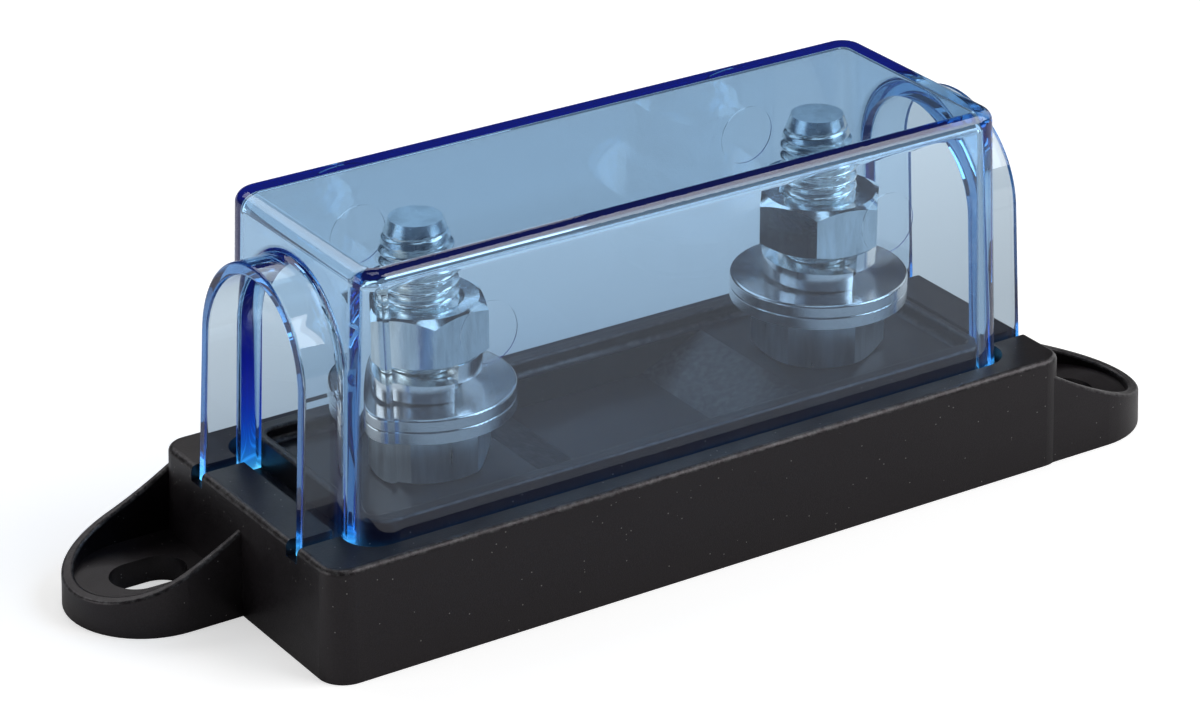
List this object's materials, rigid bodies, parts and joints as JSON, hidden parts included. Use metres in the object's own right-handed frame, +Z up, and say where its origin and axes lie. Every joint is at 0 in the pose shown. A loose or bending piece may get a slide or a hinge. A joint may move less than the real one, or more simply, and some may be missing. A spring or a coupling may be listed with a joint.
{
  "type": "fuse holder",
  "caption": "Bolt-down fuse holder: moulded base with fixing ears, threaded terminal studs with washers and nuts, and a clear lift-off cover with arched cable exits.",
  "frame": {"origin": "middle of the underside, at the centre of the box round the holder", "axes": "+X along the holder, from one stud to the other; +Z up through the studs; +Y across"},
  "size_m": [0.1256, 0.0376, 0.0422],
  "materials": {
    "moulded_base": "black glass-filled moulding, finely textured",
    "clear_cover": "clear blue moulding, polished",
    "stud_zinc": "zinc plated rolled thread",
    "nut_zinc": "bright zinc plate",
    "washer_zinc": "satin zinc plate",
    "spring_zinc": "zinc plated spring steel"
  },
  "bodies": {
    "root": {"base": "moulded_base", "left_bolt": "stud_zinc", "left_lock_nut": "nut_zinc", "left_lower_washer": "washer_zinc", "right_bolt": "stud_zinc", "right_lock_nut": "nut_zinc", "right_lower_washer": "washer_zinc"},
    "cover": {"cover": "clear_cover"},
    "left_clamp": {"left_upper_washer": "washer_zinc", "left_spring_washer": "spring_zinc"},
    "left_nut": {"left_nut": "nut_zinc"},
    "right_clamp": {"right_upper_washer": "washer_zinc", "right_spring_washer": "spring_zinc"},
    "right_nut": {"right_nut": "nut_zinc"}
  },
  "joints": [
    {"name": "cover_lift", "type": "slide", "parent": "root", "child": "cover", "axis": [0, 0, 1], "range_m": [0, 0.04]},
    {"name": "left_nut_lift", "type": "slide", "parent": "root", "child": "left_clamp", "axis": [0, 0, 1], "range_m": [0, 0.0063]},
    {"name": "left_nut_spin", "type": "hinge", "parent": "left_clamp", "child": "left_nut", "pos_m": [-0.0255, 0, 0.02875], "axis": [0, 0, 1], "range_deg": [0, 1800]},
    {"name": "right_nut_lift", "type": "slide", "parent": "root", "child": "right_clamp", "axis": [0, 0, 1], "range_m": [0, 0.0063]},
    {"name": "right_nut_spin", "type": "hinge", "parent": "right_clamp", "child": "right_nut", "pos_m": [0.0255, 0, 0.02875], "axis": [0, 0, 1], "range_deg": [0, 1800]}
  ],
  "couplings": [
    {"joint": "left_nut_lift", "follows": "left_nut_spin", "m_per_rad": 0.00019894},
    {"joint": "right_nut_lift", "follows": "right_nut_spin", "m_per_rad": 0.00019894}
  ]
}
